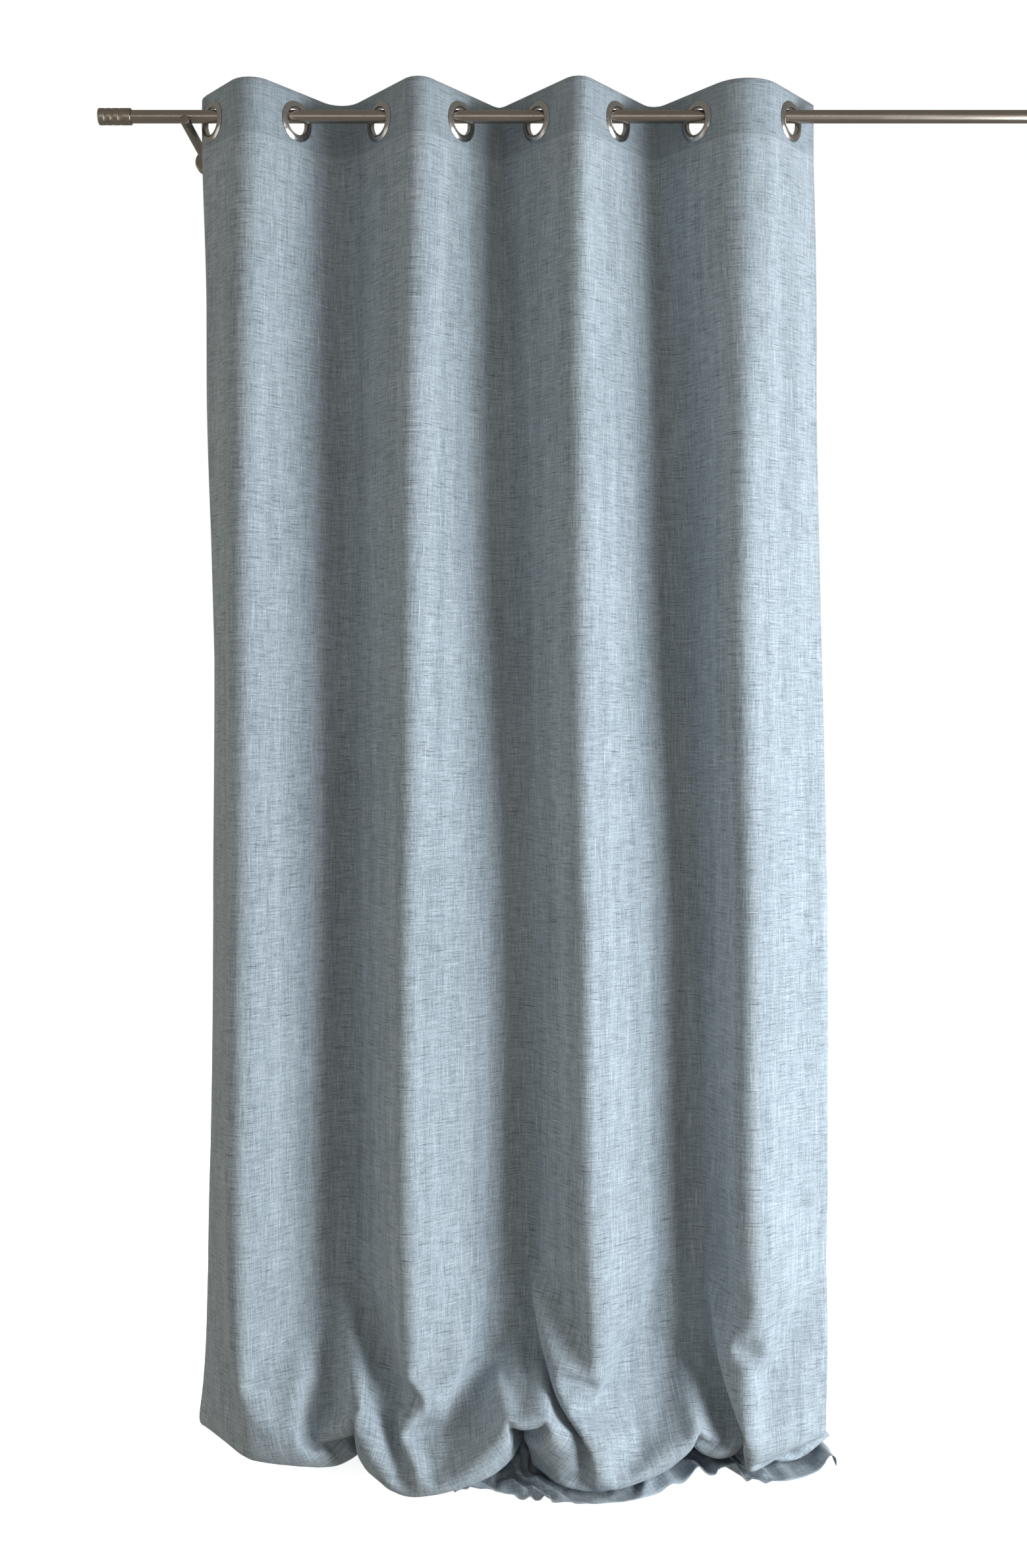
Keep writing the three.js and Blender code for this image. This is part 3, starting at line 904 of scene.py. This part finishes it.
def linen_material(name, dark, light):
    """Slubby plain weave, laid out by each point's place on the flat cloth, with painted shade over
    the header and a painted highlight along its seam.
    """
    made = material(name)
    t = Tree(made)
    place_read = t.add("ShaderNodeAttribute", attribute_name="flat", attribute_type="GEOMETRY")
    flat = place_read.outputs["Vector"]
    place_on_cloth = t.add("ShaderNodeSeparateXYZ")
    t.link(flat, place_on_cloth.inputs[0])
    drop = place_on_cloth.outputs[1]
    weft = t.noise(t.scaled(flat, (34, 1300, 0)), 2)
    warp = t.noise(t.scaled(flat, (1300, 30, 0), (3, 1, 5)), 2)
    weft_wide = t.noise(t.scaled(flat, (24, 380, 0), (1, 7, 2)), 3, 0.6)
    warp_wide = t.noise(t.scaled(flat, (380, 20, 0), (4, 2, 9)), 3, 0.6)
    grain = t.noise(t.scaled(flat, (300, 300, 0), (9, 3, 4)), 3, 0.65)
    weft_slub = t.ramp(t.noise(t.scaled(flat, (30, 620, 0), (8, 3, 1)), 1), 0.63, 0.76)
    warp_slub = t.ramp(t.noise(t.scaled(flat, (700, 26, 0), (2, 6, 4)), 1), 0.65, 0.78)
    weft_white = t.ramp(t.noise(t.scaled(flat, (26, 600, 0), (5, 9, 6)), 1), 0.66, 0.80)
    warp_white = t.ramp(t.noise(t.scaled(flat, (520, 14, 0), (7, 1, 3)), 1), 0.64, 0.79)
    bands = t.noise(t.scaled(flat, (46, 1.3, 0), (6, 4, 7)), 3)
    cloud = t.noise(t.scaled(flat, (7, 5, 0), (1, 2, 3)), 3)
    value = t.math("MULTIPLY", weft, 0.40)
    for part, weight in (
        (warp, 0.38), (weft_wide, 0.46), (warp_wide, 0.44),
        (grain, 0.50), (bands, 0.30), (cloud, 0.12),
    ):
        value = t.math("ADD", value, t.math("MULTIPLY", part, weight))
    colour = t.mix(t.ramp(value, 1.07, 1.53), dark, light)
    for thread, share, shade in (
        (weft_slub, 0.68, tuple(c * 0.36 for c in dark)),
        (warp_slub, 0.58, tuple(c * 0.40 for c in dark)),
        (weft_white, 0.60, (0.82, 0.88, 0.91)),
        (warp_white, 0.54, (0.80, 0.87, 0.91)),
    ):
        colour = t.mix(t.math("MULTIPLY", thread, share), colour, shade)
    # Painted shade: the header band is mixed towards the dark tone. It stands in for the light from
    # behind that the double layer and the tape keep from shining through.
    header = t.ramp(drop, HEADER - 0.002, HEADER + 0.001, 1.0, 0.0)
    colour = t.mix(t.math("MULTIPLY", header, 0.32), colour, dark)
    # Painted highlight: a thin line along the header seam is mixed towards the light tone, where
    # the seam's ridge catches the light.
    seam = t.math("MULTIPLY", t.ramp(drop, HEADER - 0.004, HEADER - 0.003), header)
    colour = t.mix(t.math("MULTIPLY", seam, 0.35), colour, light)
    t.link(colour, t.shader.inputs["Base Color"])
    t.link(t.ramp(weft_wide, 0.3, 0.7, 0.82, 0.94), t.shader.inputs["Roughness"])
    t.shader.inputs["Specular IOR Level"].default_value = 0.22
    t.shader.inputs["Sheen Weight"].default_value = 0.16
    t.shader.inputs["Sheen Roughness"].default_value = 0.55
    threads = []
    for direction in "YX":
        wave = t.add("ShaderNodeTexWave", wave_type="BANDS", bands_direction=direction)
        wave.inputs["Scale"].default_value = 1.0
        t.link(t.scaled(flat, (430, 430, 0)), wave.inputs["Vector"])
        threads.append(wave.outputs["Fac"])
    weave = t.math("MULTIPLY", *threads)
    lumps = t.math("ADD", t.math("MULTIPLY", weft_wide, 0.8), t.math("MULTIPLY", warp_wide, 0.7))
    lumps = t.math("ADD", lumps, t.math("MULTIPLY", weft_slub, 0.6))
    fine = t.bump(weave, 0.00018, 0.7)
    t.link(t.bump(lumps, 0.0007, 0.8, fine), t.shader.inputs["Normal"])
    return made


def plain_cloth_material(name, colour, shade):
    """Fine even grain, for the tape and the thread."""
    made = material(name)
    t = Tree(made)
    where = t.add("ShaderNodeTexCoord").outputs["Object"]
    grain = t.noise(t.scaled(where, (900, 900, 900)), 2)
    t.link(t.mix(grain, colour, shade), t.shader.inputs["Base Color"])
    t.link(t.ramp(grain, 0.3, 0.7, 0.75, 0.92), t.shader.inputs["Roughness"])
    t.link(t.bump(grain, 0.0003, 0.6), t.shader.inputs["Normal"])
    return made


def metal_material(
    name, colour, shade, roughness, stretch=(1.5, 900, 900), mottle=60, relief=0.00004
):
    """Satin metal: fine brushed lines, a slow change of tone and faint handling marks."""
    made = material(name)
    t = Tree(made)
    where = t.add("ShaderNodeTexCoord").outputs["Object"]
    brushed = t.noise(t.scaled(where, stretch), 3, 0.6)
    cloud = t.noise(t.scaled(where, (mottle, mottle, mottle), (2, 5, 1)), 3)
    tone = t.ramp(t.math("ADD", brushed, cloud), 0.7, 1.3)
    t.link(t.mix(tone, shade, colour), t.shader.inputs["Base Color"])
    spread = t.math("ADD", t.math("MULTIPLY", brushed, 0.5), t.math("MULTIPLY", cloud, 0.5))
    matt = t.ramp(spread, 0.3, 0.7, roughness - 0.05, roughness + 0.07)
    t.link(matt, t.shader.inputs["Roughness"])
    t.shader.inputs["Metallic"].default_value = 1.0
    t.link(t.bump(brushed, relief, 0.5), t.shader.inputs["Normal"])
    return made


def floor_material():
    made = material("studio_floor")
    t = Tree(made)
    where = t.add("ShaderNodeTexCoord").outputs["Object"]
    cloud = t.noise(t.scaled(where, (3, 3, 3)), 2)
    t.link(t.mix(cloud, (0.93, 0.93, 0.925), (0.95, 0.95, 0.95)), t.shader.inputs["Base Color"])
    t.shader.inputs["Roughness"].default_value = 0.9
    t.shader.inputs["Emission Color"].default_value = (1, 1, 1, 1)
    t.shader.inputs["Emission Strength"].default_value = 0.86
    return made


def paint(obj, made):
    obj.data.materials.clear()
    obj.data.materials.append(made)


def repaint_node(name, made):
    node = frame["nodes"][name]
    for index in range(len(node.material_slots)):
        node.material_slots[index].material = made


# ------------------------------------------------------------ stitching

STITCH_LENGTH = 0.0034
STITCH_PITCH = 0.0046
STITCH_LIFT = 0.0003
# Along one stitch: share of its length, height of its back over the lift, and half its width.
STITCH_SECTIONS = (
    (0, -0.0002, 0.00006), (0.2, 0.00035, 0.00026), (0.8, 0.00035, 0.00026), (1, -0.0002, 0.00006)
)


def surface_at(points, across, drop):
    """Point on the sheet's front layer at a flat place, and the cloth's outward normal there."""
    front = np.nonzero(ROW_SIDE >= 0)[0]
    drops = ROW_DROP[front]
    k = int(np.clip(np.searchsorted(drops, drop) - 1, 0, len(front) - 2))
    c = int(np.clip(across / CELL, 0, COLUMNS - 2))
    fr = (drop - drops[k]) / (drops[k + 1] - drops[k])
    fc = across / CELL - c
    a, b = points[front[k], c], points[front[k], c + 1]
    d, e = points[front[k + 1], c], points[front[k + 1], c + 1]
    at = (a * (1 - fc) + b * fc) * (1 - fr) + (d * (1 - fc) + e * fc) * fr
    right = (b - a) * (1 - fr) + (e - d) * fr
    down = (d - a) * (1 - fc) + (e - b) * fc
    normal = np.cross(down, right)
    return at, normal / np.linalg.norm(normal)


def stitch_run(points, start, end, vertices, faces):
    """Small raised thread lengths along a straight line on the flat cloth."""
    start, end = np.array(start), np.array(end)
    length = np.linalg.norm(end - start)
    way = (end - start) / length
    for number in range(int(length / STITCH_PITCH)):
        at = number * STITCH_PITCH
        ring = []
        for along, height, half in STITCH_SECTIONS:
            flat = start + way * (at + along * STITCH_LENGTH)
            here, normal = surface_at(points, flat[0], flat[1])
            ahead, _ = surface_at(points, *(flat + way * 0.001))
            sideways = np.cross(normal, ahead - here)
            sideways /= np.linalg.norm(sideways)
            top = here + normal * (STITCH_LIFT + height)
            base = here + normal * (STITCH_LIFT - 0.0003)
            flank, width = top - normal * half, sideways * half * 1.3
            ring.append((top, flank + width, base, flank - width))
        first = len(vertices)
        for corner in ring:
            vertices.extend(corner)
        for step in range(3):
            for side in range(4):
                a, b = first + step * 4 + side, first + step * 4 + (side + 1) % 4
                faces.append((a, b, b + 4, a + 4))
        faces.append((first + 3, first + 2, first + 1, first))
        faces.append((first + 12, first + 13, first + 14, first + 15))


def make_stitching(points):
    """The header seam, the two side hems and the floor hem."""
    vertices, faces = [], []
    inset, from_fold = 0.004, 0.002
    seam = HEADER - 0.003
    stitch_run(points, (inset, seam), (CLOTH_WIDTH - inset, seam), vertices, faces)
    hem_top = CLOTH_LENGTH - FLOOR_HEM
    for across in (SIDE_HEM - from_fold, CLOTH_WIDTH - SIDE_HEM + from_fold):
        stitch_run(points, (across, HEADER), (across, hem_top), vertices, faces)
    level = hem_top + from_fold
    stitch_run(points, (inset, level), (CLOTH_WIDTH - inset, level), vertices, faces)
    return mesh_object("panel_stitching", vertices, faces, smooth=False)


# ------------------------------------------------------------ header tape

def make_tape(across, drop):
    """The stiff band between the header's two layers, one cell short of the side edges."""
    rows = [k for k, v in enumerate(ROW_DROP) if ROW_SIDE[k] == 1 and v < HEADER - 0.002]
    vertices, faces = [], []
    index = {}
    for r in rows:
        x, depth = sample_line(HEADER_LINE, across[r], 1)
        for c in range(COLUMNS):
            index[r, c] = len(vertices)
            vertices.append((x[c], ROD_Y + depth[c], CLOTH_TOP_Z - drop[r, c]))
    for r in rows[:-1]:
        for c in range(1, COLUMNS - 2):
            if not in_hole(r, c):
                faces.append((index[r, c], index[r + 1, c], index[r + 1, c + 1], index[r, c + 1]))
    tape = mesh_object("header_tape_band", vertices, faces)
    without_loose(tape)
    thick = tape.modifiers.new("Thickness", "SOLIDIFY")
    thick.thickness = TAPE_THICKNESS
    thick.offset = 0
    return tape


# ------------------------------------------------------------ the whole curtain

def build_cloth(linen, tape_cloth, thread):
    points, across, drop = hanging_sheet()
    points = keep_inside(settle(points))
    panel = sheet_object(points, across, drop)
    thickness = panel.modifiers.new("Thickness", "SOLIDIFY")
    thickness.thickness = HEM_THICKNESS
    thickness.offset = 0
    thickness.vertex_group = "layers"
    paint(panel, linen)
    tape = make_tape(across, drop)
    paint(tape, tape_cloth)
    stitching = make_stitching(points)
    paint(stitching, thread)
    for piece in (panel, tape, stitching):
        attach(piece, "rod_set")
        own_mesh(piece)
    flanks = [f"panel_flank_{n}" for n in range(1, EYELETS + 1)]
    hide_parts(*flanks)
    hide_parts(*[f"header_tape_{n}" for n in range(1, EYELETS + 1)])


def build_metal(nickel, end_nickel, bracket_nickel, ring_nickel, steel):
    rod = make_rod()
    paint(rod, nickel)
    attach(rod, "rod_set")
    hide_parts("rod_tube")
    for side in ("left", "right"):
        for make, node, made, slot in (
            (make_finial, "finial", end_nickel, "finial_metal"),
            (make_arm, "bracket_arm", bracket_nickel, "bracket_metal"),
            (make_rose, "bracket_rose", bracket_nickel, "bracket_metal"),
        ):
            piece = make(side)
            paint(piece, made)
            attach(piece, "rod_set")
            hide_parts(f"{node}_{side}")
    for index in range(EYELETS):
        for ring, end in zip(make_eyelet(index), ("front", "back")):
            paint(ring, ring_nickel)
            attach(ring, f"fold_{index + 1}")
            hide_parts(f"eyelet_{index + 1}_{end}")
    for name in frame["nodes"]:
        if name.startswith(("wall_", "arm_nut", "rod_lock", "finial_grub", "rose_grub")):
            repaint_node(name, steel)


# ------------------------------------------------------------ studio

def make_floor():
    far = 8.0
    corners = [(x, y, FLOOR_Z) for x, y in ((-far, -far), (far, -far), (far, far), (-far, far))]
    floor = mesh_object("studio_floor", corners, [(0, 1, 2, 3)])
    paint(floor, floor_material())
    floor.visible_diffuse = False
    floor.visible_glossy = False


def area_light(name, at, aim, size, power, colour):
    data = bpy.data.lights.new(name, "AREA")
    data.shape = "RECTANGLE"
    data.size, data.size_y = size
    data.energy = power
    data.color = colour
    light = link(bpy.data.objects.new(name, data))
    light.location = at
    light.rotation_euler = (Vector(aim) - Vector(at)).to_track_quat("-Z", "Z").to_euler()
    return light


def make_lights():
    """A white backdrop with a dim warm fill, a window at the right, and light behind and left."""
    world = bpy.data.worlds.new("studio")
    bpy.context.scene.world = world
    world.use_nodes = True
    nodes, links = world.node_tree.nodes, world.node_tree.links
    nodes.clear()
    fill = nodes.new("ShaderNodeBackground")
    fill.inputs[0].default_value = (1.0, 0.965, 0.86, 1)
    fill.inputs[1].default_value = 0.30
    white = nodes.new("ShaderNodeBackground")
    white.inputs[0].default_value = (1, 1, 1, 1)
    path = nodes.new("ShaderNodeLightPath")
    mix = nodes.new("ShaderNodeMixShader")
    out = nodes.new("ShaderNodeOutputWorld")
    links.new(path.outputs["Is Camera Ray"], mix.inputs[0])
    links.new(fill.outputs[0], mix.inputs[1])
    links.new(white.outputs[0], mix.inputs[2])
    links.new(mix.outputs[0], out.inputs[0])
    middle = (0.5, ROD_Y, -1.1)
    area_light("window_right", (3.3, -1.56, -1.12), middle, (1.4, 2.1), 99, (0.965, 0.985, 1.0))
    area_light("window_right_low", (2.9, -1.45, -2.0), middle, (1.2, 1.0), 56, (0.80, 0.93, 1.0))
    behind = area_light("room_behind", (0.9, 2.7, -0.5), middle, (2.2, 2.0), 70, (0.97, 0.98, 1.0))
    behind.visible_camera = False
    behind.visible_glossy = False
    on_rod = (0.5, ROD_Y, ROD_Z)
    rod_line = area_light("rod_line", (0.5, -2.7, -0.28), on_rod, (3.6, 0.14), 9, (1.0, 0.97, 0.95))
    rod_line.visible_diffuse = False
    area_light("room_left", (-2.6, -1.2, -0.9), middle, (1.6, 1.8), 11, (1.0, 0.95, 0.84))


CAMERA_X = 0.5092
CAMERA_Z = -0.936
CAMERA_DISTANCE = 2.5
PHOTO_HEIGHT = 2380
PHOTO_SHIFT = 90


def make_camera():
    """The photograph's view: level, square to the rod, with the frame shifted down a little."""
    data = bpy.data.cameras.new("photo_view")
    camera = link(bpy.data.objects.new("photo_view", data))
    camera.location = (CAMERA_X, ROD_Y - CAMERA_DISTANCE, CAMERA_Z)
    camera.rotation_euler = (math.pi / 2, 0, 0)
    data.sensor_fit = "AUTO"
    data.sensor_width = 36
    data.lens = 36.87
    data.shift_y = -PHOTO_SHIFT / PHOTO_HEIGHT
    bpy.context.scene.camera = camera


def build():
    make_camera()
    make_lights()
    make_floor()
    bpy.context.scene.view_settings.view_transform = "Standard"
    linen = linen_material("curtain_linen", (0.190, 0.237, 0.274), (0.56, 0.638, 0.722))
    tape_cloth = plain_cloth_material("header_tape_cloth", (0.72, 0.71, 0.68), (0.60, 0.59, 0.56))
    thread = plain_cloth_material("sewing_thread", (0.42, 0.50, 0.53), (0.30, 0.37, 0.40))
    nickel = metal_material(
        "rod_satin_nickel", (0.39, 0.34, 0.303), (0.31, 0.268, 0.238), 0.28,
        stretch=(1.5, 700, 700), mottle=9, relief=0.000012,
    )
    end_nickel = metal_material("finial_satin_nickel", (0.38, 0.33, 0.28), (0.27, 0.23, 0.19), 0.34)
    bracket_nickel = metal_material(
        "bracket_satin_nickel", (0.31, 0.275, 0.235), (0.23, 0.20, 0.17), 0.38,
        stretch=(900, 1.5, 900),
    )
    ring_nickel = metal_material(
        "eyelet_satin_nickel", (0.50, 0.48, 0.46), (0.41, 0.395, 0.38), 0.22,
        stretch=(420, 420, 420), mottle=260,
    )
    steel = metal_material(
        "hardware_steel", (0.45, 0.44, 0.42), (0.34, 0.33, 0.32), 0.34, stretch=(300, 300, 300)
    )
    build_metal(nickel, end_nickel, bracket_nickel, ring_nickel, steel)
    build_cloth(linen, tape_cloth, thread)


build()
bpy.context.view_layer.update()
